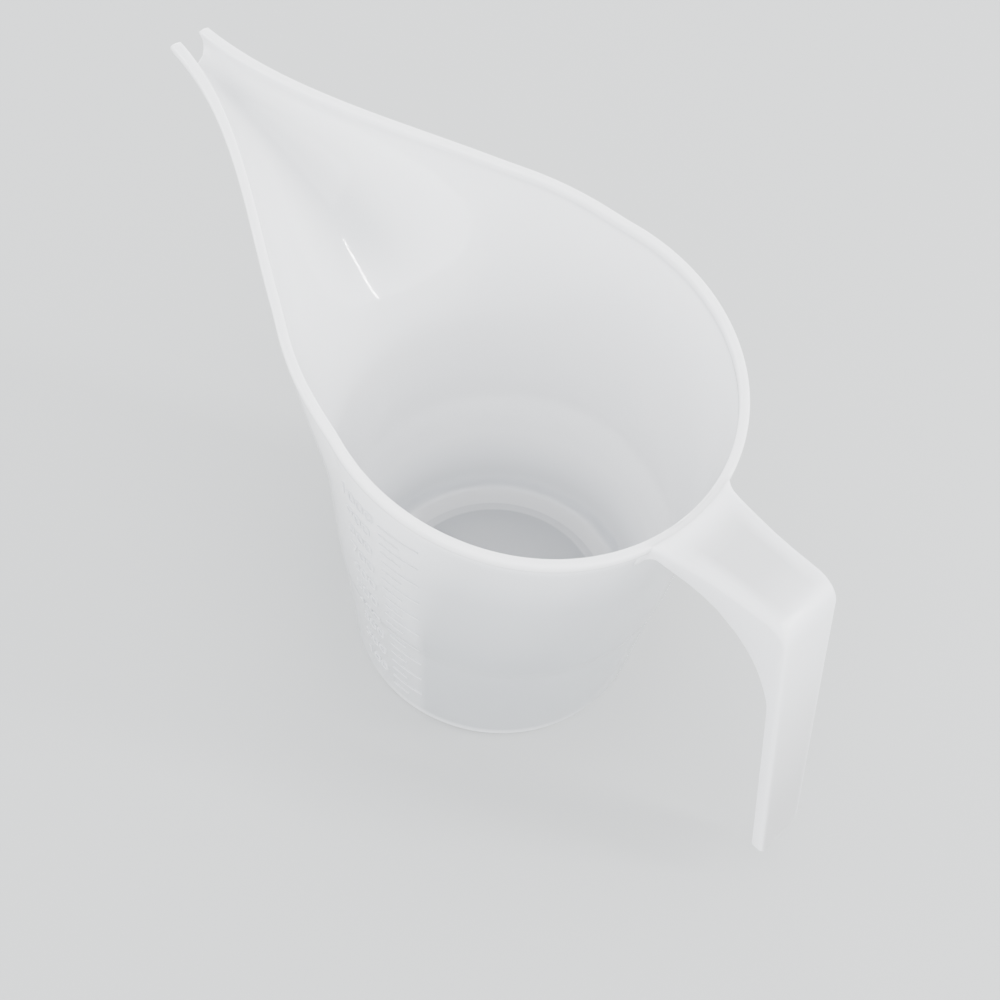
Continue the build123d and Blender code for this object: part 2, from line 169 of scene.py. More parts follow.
# Handle. Runs are lengths along its outer line, from its root on the cup.
PLATE = 2.0
FLANGE = 1.8
HANDLE_RISE = math.radians(3)
HANDLE_LEAN = math.radians(13.2)
HANDLE_CORNER_X = -96.4
HANDLE_CORNER_RADIUS = 7.2
HANDLE_BOTTOM_Z = 17.5
FLANGE_DEPTH = 3.8
ARCH_ROOT_DEPTH = 5.0
ARCH_SLOPE = math.radians(14)
ARCH_RADIUS = 37.0
ROOT_HALF_WIDTH = 15.0
NECK_HALF_WIDTH = 11.3
NECK_X = -86.5
END_HALF_WIDTH = 9.5
END_CORNER_RADIUS = 3.0
END_ROUNDING = 0.5
ROOT_FILLET = 3.0
ROOT_FILLET_DEPTH = 1.4  # how much more the root's fillet adds to the depth than to the width
ROOT_INSET = 0.15  # how far the handle's root lies inside the wall
ROOT_SINK = 0.06  # how far below the rim plane the handle's top starts
ROOT_RUN = 12.0  # over which the top leaves the rim plane
STRAIGHTEN_RUN = 15.0  # over which the rings, curved like the cup at the root, become straight
SETTLE_RUN = 30.0  # below the bend, over which the grip gets its own section
OUTER_ROUNDING = 1.2
TOP_ROUNDING = 1.9
FLANGE_EDGE_ROUNDING = 0.6
INNER_ROUNDING = 1.0
LEAST_SLANT = 0.5  # limit of the cosine by which a slanting ring makes the plate look thicker

# How the handle is divided
ROOT_LENGTHS = (0, 0.6, 1.05, 1.12, 1.25, 1.5, 1.9, 2.4, 3.0, 3.7, 4.6, 6.4, 9, 13, 18, 24)
BEND_RINGS = 12
GRIP_RINGS = 30
END_SHARES = (0.85, 0.65, 0.45, 0.28, 0.15, 0.08, 0.03, 0)  # of the end's corner radius, before the end
ARCH_TURN_REACH = 9.0  # how far along the arch, on each side of its middle, the bend's rings reach
TANGENT_STEP = 0.05
ARC_SAMPLES = 40
CORNER_POINTS = 5
PLATE_POINTS = (0.5, 0.75)  # shares of the half width at which the plate has points of its own

# How much darker the handle's colour is, by place: less dense past the root, painted shade on the top
# plate, and darker down the back plate
GRIP_THINNING = 0.26
GRIP_THINNING_RUN = 10.0
TOP_PLATE_SHADE = 0.31
TOP_PLATE_SHADE_START = (2, 14)  # runs at which it begins and is full
TOP_PLATE_SHADE_END = 5.0  # before the bend, where it starts to fade
BACK_PLATE_DARKENING = ((0, 0.04), (12, 0.12), (50, 0.42), (90, 0.62))  # run below the bend, value
DARK_STRIP = 0.5  # share of the half width that the plate's darker strip takes up before the bend
DARK_STRIP_GROWTH = 0.32  # what is added to that share after the bend
DARK_STRIP_RUN = 12.0  # below the bend, where that growth ends
DARK_STRIP_FADE = 0.2

# Surface of the plastic
CLOUD_RANGE = (0.3, 0.7)
GLOSS_RANGE = (-0.05, 0.07)  # below and above the mean roughness
GRAIN_IN_BUMP = 0.12
REFRACTION = 1.49
COAT_ROUGHNESS = 0.05

# Studio, in metres
FLOOR_HALF_SIZE = 3.0
FLOOR_GAP = 0.0001
FLOOR_DARK = (0.43, 0.435, 0.43)
FLOOR_LIGHT = (0.45, 0.455, 0.45)
SKY_COLOUR = (0.95, 0.97, 1.0)
SKY_AT_HORIZON = 8.2
SKY_OVERHEAD = 1.2
LAMP_DISTANCE = 1.3
OVERHEAD_HALF_LENGTH = 0.5
OVERHEAD_WIDTH = 1.0
OVERHEAD_POWER = 12
WINDOW_WIDTH = 0.015
WINDOW_POWER = 9
WINDOW_HIGH = (77.5, -138.0, 46.9)  # x on the keel in mm, and the azimuth and elevation from there
WINDOW_LOW = (62.1, -152.9, 14.2)
CAMERA_PLACE = (-0.1322, 0.1750, 0.4052)
CAMERA_FORWARD = (0.33578, -0.42791, -0.83913)
CAMERA_UP = (0.62535, -0.56493, 0.53832)
CAMERA_LENS = 46.8
CAMERA_SENSOR = 36.0


def rim_z(x):
    """Height of the rim plane."""
    return RIM_BACK_Z + RIM_RISE * (x + RIM_BACK_RADIUS)


def outer_radius(z):
    """Outer radius of the cup at a height."""
    below = BASE_RADIUS + LOWER_TAPER * np.minimum(z, SHOULDER_Z)
    step = SHOULDER_STEP * smoothstep(z, SHOULDER_Z - SHOULDER_EASING, SHOULDER_TOP + SHOULDER_EASING)
    return below + step + UPPER_TAPER * np.maximum(z - SHOULDER_TOP, 0)


def half_width(x):
    """Half width of the spout at the rim."""
    swell = (1 + np.cos(np.pi * x / SPOUT_RUN_OUT)) / 2
    return SPOUT_TIP_HALF_WIDTH + (SPOUT_ROOT_HALF_WIDTH - SPOUT_TIP_HALF_WIDTH) * swell


def keel_drop(x):
    """Depth of the spout's keel below the rim."""
    return SPOUT_TIP_DEPTH + SPOUT_ROOT_DEPTH * ((SPOUT_RUN_OUT - x) / SPOUT_RUN_OUT) ** 3


def smoothstep(value, start, end):
    """0 before start, 1 after end and an even curve between them."""
    t = np.clip((value - start) / (end - start), 0, 1)
    return t * t * (3 - 2 * t)


def body_distance(point):
    """Roughly how far points are outside the cup and its spout, with a blend between the two."""
    x, y, z = point
    cup = np.hypot(x, y) - outer_radius(z)
    side = y / half_width(x)
    drop = np.maximum(rim_z(x) - z, 0) / keel_drop(x)
    level = np.hypot(side, drop)
    slope = np.hypot(side / half_width(x), drop / keel_drop(x)) / level
    spout = np.where(x > 0, (level - 1) / slope, BASE_RADIUS)
    reach = BLEND * smoothstep(x, BLEND_START_X, BLEND_FULL_X) + NOT_ZERO
    overlap = np.maximum(reach - np.abs(cup - spout), 0)
    return np.minimum(cup, spout) - overlap**2 / (4 * reach)


def gradient(point):
    """Direction and size of the quickest growth of body_distance."""
    slopes = []
    for axis in range(3):
        shift = np.zeros((3, 1))
        shift[axis] = SLOPE_STEP
        slopes.append((body_distance(point + shift) - body_distance(point - shift)) / (2 * SLOPE_STEP))
    return np.array(slopes)


def inside_easing(z):
    """How much further out the inside is than the wall's thickness alone gives, to soften the step."""
    lower = BASE_RADIUS + LOWER_TAPER * z
    step_radius = BASE_RADIUS + LOWER_TAPER * SHOULDER_Z + SHOULDER_STEP
    upper = step_radius + UPPER_TAPER * (z - SHOULDER_TOP)
    share = smoothstep(z, SHOULDER_Z - INSIDE_EASING, SHOULDER_TOP + INSIDE_EASING)
    return lower + (upper - lower) * share - outer_radius(z)


def onto_body(points):
    """Points moved onto the blended surface, and the surface's outward directions there."""
    point = points.T.copy()
    for _ in range(SURFACE_STEPS):
        slope = gradient(point)
        point -= slope * body_distance(point) / (slope**2).sum(0)
    slope = gradient(point)
    return point.T, (slope / np.linalg.norm(slope, axis=0)).T


def along(line, lengths):
    """Points at the given lengths along a polyline."""
    run = np.concatenate(([0], np.cumsum(np.linalg.norm(np.diff(line, axis=0), axis=1))))
    return np.array([np.interp(lengths, run, line[:, axis]) for axis in range(line.shape[1])]).T


def length_of(line):
    """Length of a polyline."""
    return np.linalg.norm(np.diff(line, axis=0), axis=1).sum()


def spout_end_x(drop):
    """Where the raked, round-cornered end of the spout is, at a drop below the rim."""
    corner = TIP_CORNER_RADIUS - min(drop, TIP_CORNER_RADIUS)
    rounding = TIP_CORNER_RADIUS - math.sqrt(TIP_CORNER_RADIUS**2 - corner**2)
    return SPOUT_LENGTH - drop * math.tan(SPOUT_RAKE) - rounding


def outline(level_z, level_slope, spout_drop, spout_end):
    """Half outline of the body in the plane z = level_z + level_slope * x, from the back to the front.

    The spout's part, at spout_drop below the rim and up to x = spout_end, is left out where spout_drop
    is None.
    """
    back = np.linspace(np.pi, np.pi / 2, BACK_COLUMNS + 1)
    front = np.linspace(np.pi / 2, 0, OUTLINE_SAMPLES)
    base_radius = outer_radius(SHOULDER_TOP) + UPPER_TAPER * (level_z - SHOULDER_TOP)

    def cup_radius(angle):
        return base_radius / (1 - UPPER_TAPER * level_slope * np.cos(angle))

    angles, radii = front, cup_radius(front)
    if spout_drop is not None:
        x = spout_end * np.sin(np.linspace(0, np.pi / 2, OUTLINE_SAMPLES))
        y = half_width(x) * np.sqrt(np.maximum(1 - (spout_drop / keel_drop(x)) ** 2, 0))
        spout_angles, spout_radii = np.arctan2(y, x), np.hypot(x, y)
        last = spout_angles[-1]
        angles = np.unique(np.concatenate((front[front > last], spout_angles)))[::-1]
        reach = np.interp(-angles, -spout_angles, spout_radii)
        radii = np.maximum(reach, cup_radius(angles))

    def plane_points(at_angles, at_radii):
        x, y = at_radii * np.cos(at_angles), at_radii * np.sin(at_angles)
        return np.array([x, y, level_z + level_slope * x]).T

    forward = plane_points(angles, radii)
    share = np.linspace(0, 1, FRONT_COLUMNS + 1)
    share = share * (1 + NOSE_CROWDING) - NOSE_CROWDING * share**2
    forward = along(forward, share * length_of(forward))
    return np.concatenate((plane_points(back, cup_radius(back))[:-1], forward))


def shell_levels():
    """Levels of the upper body from the rim down to the shoulder.

    Each is a half outline, how far the outside stands out and the inside lies in, and whether the
    outline closes at the front.
    """
    levels = []
    for drop, out, inward in BEAD_PROFILE:
        points = outline(rim_z(0) - drop, RIM_RISE, drop, spout_end_x(drop))
        levels.append((points, out, inward, False))
    end_x = SPOUT_LENGTH - SPOUT_TIP_DEPTH * math.tan(SPOUT_RAKE)
    for x in np.linspace(end_x, KEEL_ROOT_X, KEEL_ROWS):
        drop = keel_drop(x)
        levels.append((outline(rim_z(0) - drop, RIM_RISE, drop, x), 0.0, WALL, True))
    last_drop = keel_drop(KEEL_ROOT_X)
    shares = np.append(np.linspace(0, 1, SIDE_ROWS + 1)[1:-1], (1 - CREASE / SIDE_RUN, 1))
    for share in shares:
        level_z = (rim_z(0) - last_drop) * (1 - share) + SHOULDER_TOP * share
        points = outline(level_z, RIM_RISE * (1 - share), None, None)
        levels.append((points, 0.0, WALL, True))
    return levels


def arc(centre, radius, start, end, count):
    """Points of an arc in a section, as (radius from the axis, height)."""
    turns = np.radians(np.linspace(start, end, count))
    return [(centre[0] + radius * math.cos(t), centre[1] + radius * math.sin(t)) for t in turns]


def outside_section():
    """Section of the outside from just under the shoulder's top, round the foot, to the underside."""
    heights = (SHOULDER_TOP - CREASE, SHOULDER_Z + CREASE, SHOULDER_Z, SHOULDER_Z - CREASE)
    start, end = SHOULDER_Z - OUTSIDE_ROWS_START, FOOT_EDGE_RADIUS + ROWS_END
    heights += tuple(np.linspace(start, end, OUTSIDE_ROWS))
    section = [(outer_radius(z), z) for z in heights]
    centre = (BASE_RADIUS - FOOT_EDGE_RADIUS, FOOT_EDGE_RADIUS)
    section += arc(centre, FOOT_EDGE_RADIUS, 0, -90, FOOT_EDGE_POINTS)
    section += [(FOOT_INNER_RADIUS + FOOT_FLAT, 0), (FOOT_INNER_RADIUS + CREASE, 0)]
    section += [(FOOT_INNER_RADIUS, CREASE), (FOOT_INNER_RADIUS, FOOT_HEIGHT - CREASE)]
    section += [(FOOT_INNER_RADIUS - CREASE, FOOT_HEIGHT)]
    under = FOOT_HEIGHT + FLOOR_RAISE
    section += [(FLOOR_DISC_RADIUS + CREASE, under - UNDER_EDGE_DROP)]
    section += [(radius, under) for radius in DISC_RADII]
    return section


def inside_section():
    """Section of the inside from just under the shoulder's top to the middle of the floor."""
    fillet_z = FLOOR_Z + FLOOR_FILLET
    heights = np.linspace(SHOULDER_TOP - CREASE, fillet_z + ROWS_END, INSIDE_ROWS)
    section = [(outer_radius(z) - WALL + inside_easing(z), z) for z in heights]
    centre = (outer_radius(fillet_z) - WALL - FLOOR_FILLET, fillet_z)
    section += arc(centre, FLOOR_FILLET, 0, -90, FILLET_POINTS)
    section += [(FOOT_INNER_RADIUS + CREASE, FLOOR_Z), (FOOT_INNER_RADIUS, FLOOR_Z + FLOOR_EDGE_RISE)]
    top = FLOOR_Z + FLOOR_RAISE
    section += [(FLOOR_DISC_RADIUS + CREASE, top - FLOOR_EDGE_DROP)]
    section += [(radius, top) for radius in DISC_RADII]
    return section


def shell_rows():
    """Every row of the shell's half, from the underside's middle over the rim to the floor's middle.

    Gives the rows, the place of the rim's outer row, and how many rows on each side of the rim end at
    the spout's open end.
    """
    outside, inside = [], []
    opened = 0
    for points, out, inward, closed in shell_levels():
        placed, normals = onto_body(points)
        toward_tip = smoothstep(placed[:, :1], LIP_GROWTH_START_X, SPOUT_LENGTH)
        in_lip = 1 - smoothstep(rim_z(placed[:, :1]) - placed[:, 2:], 0, BEAD_BOTTOM)
        outer = placed + normals * out
        inner = placed - normals * (inward + LIP_GROWTH_AT_TIP * toward_tip * in_lip)
        ease = 1 + inside_easing(inner[:, 2:]) / np.hypot(inner[:, :1], inner[:, 1:2])
        inner[:, :2] *= ease
        for row in (outer, inner):
            row[0, 1] = 0
            if closed:
                row[-1, 1] = 0
        outside.append(outer)
        inside.append(inner)
        opened += not closed
    ring = outside[-1]
    turns = np.arctan2(ring[:, 1], ring[:, 0])

    def rings(section):
        return [
            np.array([radius * np.cos(turns), radius * np.sin(turns), np.full(len(turns), z)]).T
            for radius, z in section
        ]

    under = rings(outside_section())[::-1]
    rows = under + outside[::-1] + inside + rings(inside_section())
    outer_rim = len(under) + len(outside) - 1
    return rows, outer_rim, opened


def lookup(place, table):
    """Value at a place, between the rows of a table of (place, value)."""
    return float(np.interp(place, *zip(*table)))


def scale_side_milkiness(azimuth, z):
    """How much lighter the outside is on the side that carries the scale."""
    start, full, end = SCALE_SIDE
    fade = lookup(z, SCALE_SIDE_SOFTNESS)
    share = smoothstep(azimuth, start, full) * (1 - smoothstep(azimuth, end - fade, end + fade))
    return lookup(z, SCALE_SIDE_MILKINESS) * float(share)


def milkiness_and_shade(x, y, z, on_bead, outside):
    """How white the shell's colour is at a place, up to 1 where it is thickest; lower values stand for
    thinner plastic and for painted shade.
    """
    if on_bead:
        return 1.0
    radius = math.hypot(x, y)
    # The floor's disc: thinner plastic with painted shade of the ground seen through it
    if z < FLOOR_Z + FLOOR_RAISE + FLOOR_MARGIN:
        if radius < FLOOR_DISC_RADIUS:
            return DISC_MILK_AND_SHADE
        if radius < FOOT_INNER_RADIUS + FLOOR_MARGIN:
            return STEP_MILKINESS
    # Painted shade on the lower outside, except towards the foot and on the scale's side
    if outside:
        of_wall = max(lookup(rim_z(x) - z, OUTSIDE_MILK_AND_SHADE), lookup(z, FOOT_MILKINESS))
        return min(of_wall + scale_side_milkiness(math.degrees(math.atan2(y, x)), z), 1.0)
    # Painted shade: a darker strip along the spout's valley, a little off the keel
    near_keel = 1 - smoothstep(abs(y / half_width(x) + KEEL_SHADE_SHIFT), *KEEL_SHADE_STRIP)
    on_spout = smoothstep(x, *KEEL_SHADE_START) * (1 - smoothstep(x, *KEEL_SHADE_END))
    return lookup(z, INSIDE_MILK_AND_SHADE) - KEEL_SHADE * float(near_keel * on_spout)


def new_object(name, mesh_builder):
    """An object from a bmesh in millimetres: doubles joined, normals outward, smoothly shaded."""
    mesh_builder.verts.index_update()
    bmesh.ops.remove_doubles(mesh_builder, verts=mesh_builder.verts, dist=JOIN_DISTANCE)
    bmesh.ops.recalc_face_normals(mesh_builder, faces=mesh_builder.faces)
    bmesh.ops.scale(mesh_builder, vec=(MM, MM, MM), verts=mesh_builder.verts)
    mesh = bpy.data.meshes.new(name)
    mesh_builder.to_mesh(mesh)
    mesh_builder.free()
    mesh.shade_smooth()
    piece = bpy.data.objects.new(name, mesh)
    bpy.context.scene.collection.objects.link(piece)
    return piece


def make_shell():
    """The cup with its floor, foot, shoulder, spout and beaded rim, as one closed skin."""
    rows, outer_rim, opened = shell_rows()
    bead_rows = range(outer_rim + 1 - BEAD_ROWS, outer_rim + 1 + BEAD_ROWS)
    builder = bmesh.new()
    milk_and_shade = builder.verts.layers.float.new("milkiness_and_shade")
    for sign in (1, -1):
        grid = []
        for place, row in enumerate(rows):
            grid.append([builder.verts.new((p[0], sign * p[1], p[2])) for p in row])
            for vert in grid[-1]:
                vert[milk_and_shade] = milkiness_and_shade(*vert.co, place in bead_rows, place <= outer_rim)
        for low, high in zip(grid, grid[1:]):
            for column in range(len(low) - 1):
                builder.faces.new((low[column], low[column + 1], high[column + 1], high[column]))
        # The spout's open end, slightly rounded between the outside and the inside
        middles = []
        for place in range(opened + 1):
            outer, inner = grid[outer_rim - place][-1], grid[outer_rim + 1 + place][-1]
            middle = (outer.co + inner.co) / 2 + Vector((TIP_ROUNDING, 0, 0))
            middles.append(builder.verts.new(middle))
            middles[-1][milk_and_shade] = 1.0
        for place in range(opened):
            outer, outer_next = grid[outer_rim - place][-1], grid[outer_rim - place - 1][-1]
            inner, inner_next = grid[outer_rim + 1 + place][-1], grid[outer_rim + 2 + place][-1]
            middle, middle_next = middles[place], middles[place + 1]
            builder.faces.new((outer, outer_next, middle_next, middle))
            builder.faces.new((middle, middle_next, inner_next, inner))
        builder.faces.new((grid[outer_rim][-1], middles[0], grid[outer_rim + 1][-1]))
    return new_object("jug_shell", builder)


def handle_lines():
    """The handle's outer line and the arch under its flanges, seen from the side, as polylines."""
    rise = np.array((-math.cos(HANDLE_RISE), math.sin(HANDLE_RISE)))
    fall = np.array((-math.sin(HANDLE_LEAN), -math.cos(HANDLE_LEAN)))
    inward = np.array((math.cos(HANDLE_LEAN), -math.sin(HANDLE_LEAN)))
    corner_z = RIM_BACK_Z - math.tan(HANDLE_RISE) * (RIM_BACK_RADIUS + HANDLE_CORNER_X)
    corner = np.array((HANDLE_CORNER_X, corner_z))
    root_x = -(outer_radius(RIM_BACK_Z) - WALL + ROOT_INSET)
    root = corner - rise * ((root_x - corner[0]) / -rise[0])
    end = corner + fall * ((corner[1] - HANDLE_BOTTOM_Z) / -fall[1])

    slope = np.array((-math.cos(ARCH_SLOPE), -math.sin(ARCH_SLOPE)))
    arch_start = np.array((-RIM_BACK_RADIUS, RIM_BACK_Z - ARCH_ROOT_DEPTH))
    arch_root = arch_start - slope * ((root_x - arch_start[0]) / -slope[0])
    grip = corner + inward * FLANGE_DEPTH
    turn = slope[0] * fall[1] - slope[1] * fall[0]
    gap = grip - arch_start
    arch_corner = arch_start + slope * ((gap[0] * fall[1] - gap[1] * fall[0]) / turn)
    arch_end = grip + fall * ((grip[1] - HANDLE_BOTTOM_Z) / -fall[1])
    outer = rounded_line(root, corner, end, HANDLE_CORNER_RADIUS)
    arch = rounded_line(arch_root, arch_corner, arch_end, ARCH_RADIUS)
    return outer, arch


def rounded_line(start, corner, end, radius):
    """Two straight runs joined by an arc, with the lengths at which the arc starts and ends."""
    first = (corner - start) / np.linalg.norm(corner - start)
    second = (end - corner) / np.linalg.norm(end - corner)
    turn = math.acos(float(first @ second))
    reach = radius * math.tan(turn / 2)
    arc_start = corner - first * reach
    left = np.array((-first[1], first[0]))
    side = math.copysign(1, float(left @ second))
    centre = arc_start + left * side * radius
    steps = np.linspace(0, turn, ARC_SAMPLES)[:, None]
    curve = centre - left * side * radius * np.cos(steps) + first * radius * np.sin(steps)
    line = np.concatenate(([start], curve, [end]))
    run = np.linalg.norm(arc_start - start)
    return line, run, run + radius * turn


def handle_half_width(x):
    """Half width of the handle seen from above: flared at the cup, then nearly straight."""
    end_x = HANDLE_CORNER_X - math.tan(HANDLE_LEAN) * (RIM_BACK_Z - HANDLE_BOTTOM_Z)
    flare = max(x - NECK_X, 0) / (-RIM_BACK_RADIUS - NECK_X)
    taper = min(x - NECK_X, 0) / (end_x - NECK_X)
    width = NECK_HALF_WIDTH + (ROOT_HALF_WIDTH - NECK_HALF_WIDTH) * flare**2
    return width + (END_HALF_WIDTH - NECK_HALF_WIDTH) * taper


def channel_section(half, depth, plate, r_out, inset):
    """Half section of the handle's channel as (y, depth), from the top's middle round to the inside.

    The section is drawn in by inset all round, which is how its open end is rounded.
    """
    def corner(y, d, radius, start):
        turns = np.radians(np.linspace(start, start + 90, CORNER_POINTS))
        return [(y + radius * math.cos(t), d - radius * math.sin(t)) for t in turns]

    r_end, r_in = FLANGE_EDGE_ROUNDING, INNER_ROUNDING
    inner = half - FLANGE + inset
    half, depth, plate = half - inset, depth - inset, plate - inset
    points = [(0, inset)] + [(half * share, inset) for share in PLATE_POINTS]
    points += corner(half - r_out, inset + r_out, r_out, 0)[::-1]
    points += [(half, (depth + r_out) / 2)]
    points += corner(half - r_end, depth - r_end, r_end, -90)[::-1]
    points += corner(inner + r_end, depth - r_end, r_end, 180)[::-1]
    points += [(inner, (depth + plate) / 2)]
    points += corner(inner - r_in, plate + r_in, r_in, 0)
    points += [(inner * share, plate) for share in PLATE_POINTS[::-1]] + [(0, plate)]
    return points


def make_handle():
    """The handle: a channel swept from the cup over the bend and down the grip, open at its end."""
    (outer, bend_start, bend_end), (arch, arch_start, arch_end) = handle_lines()
    outer_length, arch_length = length_of(outer), length_of(arch)
    bend = np.linspace(bend_start, bend_end, BEND_RINGS)
    grip = np.linspace(bend_end, outer_length - END_CORNER_RADIUS, GRIP_RINGS)[1:]
    end = outer_length - END_CORNER_RADIUS * np.array(END_SHARES)
    lengths = np.concatenate((ROOT_LENGTHS, bend, grip, end))
    bend_middle = (bend_start + bend_end) / 2
    arch_middle = (arch_start + arch_end) / 2
    settle = bend_end + SETTLE_RUN
    # Lengths along the outer line and along the arch that belong to one ring
    marks = (0, bend_start, bend_middle, bend_end, settle, outer_length)
    arch_settle = arch_length - (outer_length - settle)
    arch_turn = (arch_middle - ARCH_TURN_REACH, arch_middle, arch_middle + ARCH_TURN_REACH)
    arch_marks = (0, *arch_turn, arch_settle, arch_length)
    arch_lengths = np.interp(lengths, marks, arch_marks)
    tops, bottoms = along(outer, lengths), along(arch, arch_lengths)
    ahead = along(outer, np.minimum(lengths + TANGENT_STEP, outer_length))
    tangents = ahead - along(outer, np.maximum(lengths - TANGENT_STEP, 0))

    builder = bmesh.new()
    milk_and_shade = builder.verts.layers.float.new("milkiness_and_shade")
    rings = []
    for length, top, bottom, tangent in zip(lengths, tops, bottoms, tangents):
        inward = np.array((-tangent[1], tangent[0])) / np.linalg.norm(tangent)
        reach = np.linalg.norm(bottom - top)
        toward = (bottom - top) / reach
        plate = PLATE / max(float(inward @ toward), LEAST_SLANT)
        clear = max(length - WALL + ROOT_INSET, 0)
        fillet_left = max(ROOT_FILLET - clear, 0)
        fillet = ROOT_FILLET - math.sqrt(ROOT_FILLET**2 - fillet_left**2)
        left = END_CORNER_RADIUS - min(outer_length - length, END_CORNER_RADIUS)
        narrowing = END_CORNER_RADIUS - math.sqrt(END_CORNER_RADIUS**2 - left**2)
        half = handle_half_width(top[0]) + fillet - narrowing
        straighten = float(smoothstep(length, 0, STRAIGHTEN_RUN))
        flush = 1 - float(smoothstep(length, 0, ROOT_RUN))
        dense = 1 - GRIP_THINNING * float(smoothstep(length, 0, GRIP_THINNING_RUN))
        # Painted shade on the middle of the top plate; the back plate darkens towards its lower end
        if length > bend_end:
            darkening = lookup(length - bend_end, BACK_PLATE_DARKENING)
        else:
            darkening = TOP_PLATE_SHADE * smoothstep(length, *TOP_PLATE_SHADE_START)
            darkening *= 1 - smoothstep(length, bend_start - TOP_PLATE_SHADE_END, bend_middle)
        after_bend = smoothstep(length, bend_start, bend_end + DARK_STRIP_RUN)
        dark_to = DARK_STRIP + DARK_STRIP_GROWTH * after_bend
        sharpen = float(smoothstep(length, bend_end, settle))
        rounding = TOP_ROUNDING + (OUTER_ROUNDING - TOP_ROUNDING) * sharpen
        to_end = min(outer_length - length, END_ROUNDING)
        inset = END_ROUNDING - math.sqrt(END_ROUNDING**2 - (END_ROUNDING - to_end) ** 2)
        ring = []
        section = channel_section(half, reach + fillet * ROOT_FILLET_DEPTH, plate, rounding, inset)
        mirrored = [(-y, d) for y, d in section[1:-1]][::-1]
        for y, depth in section + mirrored:
            # At the root a ring follows the cup's curve and the rim plane
            place = top + toward * depth
            cup = outer_radius(place[1]) - WALL + ROOT_INSET
            shift = (cup - math.sqrt(cup**2 - y**2)) * (1 - straighten)
            lift = (rim_z(place[0] + shift) - ROOT_SINK - top[1]) * flush
            ring.append(builder.verts.new((place[0] + shift, y, place[1] + lift)))
            in_strip = 1 - smoothstep(abs(y) / half, dark_to, dark_to + DARK_STRIP_FADE)
            if depth >= plate + INNER_ROUNDING:
                in_strip = 0
            ring[-1][milk_and_shade] = dense - float(darkening * in_strip)
        rings.append(ring)
    for first, second in zip(rings, rings[1:]):
        for place in range(len(first)):
            after = (place + 1) % len(first)
            builder.faces.new((first[place], first[after], second[after], second[place]))
    half_count = len(rings[0]) // 2
    for ring in (rings[0], rings[-1]):
        for place in range(half_count // 2):
            across = half_count - place
            for side in (1, -1):
                corners = (place, place + 1, across - 1, across)
                builder.faces.new([ring[side * corner] for corner in corners])
    return new_object("handle_channel", builder)


def node(tree, kind, **inputs):
    """A shader node with some of its inputs set."""
    made = tree.nodes.new(kind)
    for name, value in inputs.items():
        made.inputs[name.replace("_", " ")].default_value = value
    return made


def polypropylene(name, light, dark, thin_and_shaded, subsurface, depth, transmission, roughness, coat):
    """Milky translucent plastic: a cloudy body colour, an uneven gloss and a faint moulded grain.

    Where a thin colour is given, the body colour goes towards it as the mesh's milkiness attribute goes
    to 0; that colour stands for thinner plastic and for painted shade.
    Depth is how far light travels under the surface, in metres.
    """
    material = bpy.data.materials.new(name)
    material.use_nodes = True
    tree = material.node_tree
    shader = tree.nodes["Principled BSDF"]
    place = tree.nodes.new("ShaderNodeTexCoord")
    cloud = node(tree, "ShaderNodeTexNoise", Scale=28.0, Detail=3.0, Roughness=0.5)
    ramp = tree.nodes.new("ShaderNodeValToRGB")
    for stop, position, colour in zip(ramp.color_ramp.elements, CLOUD_RANGE, (dark, light)):
        stop.position = position
        stop.color = (*colour, 1)
    gloss = tree.nodes.new("ShaderNodeMapRange")
    gloss.inputs["To Min"].default_value = roughness + GLOSS_RANGE[0]
    gloss.inputs["To Max"].default_value = roughness + GLOSS_RANGE[1]
    grain = node(tree, "ShaderNodeTexNoise", Scale=420.0, Detail=2.0, Roughness=0.5)
    flow = node(tree, "ShaderNodeTexNoise", Scale=55.0, Detail=1.0, Roughness=0.4)
    both = tree.nodes.new("ShaderNodeMath")
    both.operation = "MULTIPLY_ADD"
    both.inputs[1].default_value = GRAIN_IN_BUMP
    bump = node(tree, "ShaderNodeBump", Strength=0.12, Distance=0.0006)
    link = tree.links.new
    for texture in (cloud, grain, flow):
        link(place.outputs["Object"], texture.inputs["Vector"])
    link(cloud.outputs["Fac"], ramp.inputs["Fac"])
    if thin_and_shaded:
        milk_and_shade = tree.nodes.new("ShaderNodeAttribute")
        milk_and_shade.attribute_name = "milkiness_and_shade"
        mix = tree.nodes.new("ShaderNodeMix")
        mix.data_type = "RGBA"
        colours = {socket.name: socket for socket in mix.inputs if socket.type == "RGBA"}
        colours["A"].default_value = (*thin_and_shaded, 1)
        link(milk_and_shade.outputs["Fac"], mix.inputs[0])
        link(ramp.outputs["Color"], colours["B"])
        mixed = next(socket for socket in mix.outputs if socket.type == "RGBA")
        link(mixed, shader.inputs["Base Color"])
    else:
        link(ramp.outputs["Color"], shader.inputs["Base Color"])
    link(cloud.outputs["Fac"], gloss.inputs["Value"])
    link(gloss.outputs["Result"], shader.inputs["Roughness"])
    link(grain.outputs["Fac"], both.inputs[0])
    link(flow.outputs["Fac"], both.inputs[2])
    link(both.outputs["Value"], bump.inputs["Height"])
    link(bump.outputs["Normal"], shader.inputs["Normal"])
    shader.inputs["IOR"].default_value = REFRACTION
    shader.inputs["Subsurface Weight"].default_value = subsurface
    shader.inputs["Subsurface Radius"].default_value = (1.0, 1.0, 1.0)
    shader.inputs["Subsurface Scale"].default_value = depth
    shader.inputs["Transmission Weight"].default_value = transmission
    shader.inputs["Coat Weight"].default_value = coat
    shader.inputs["Coat Roughness"].default_value = COAT_ROUGHNESS
    return material


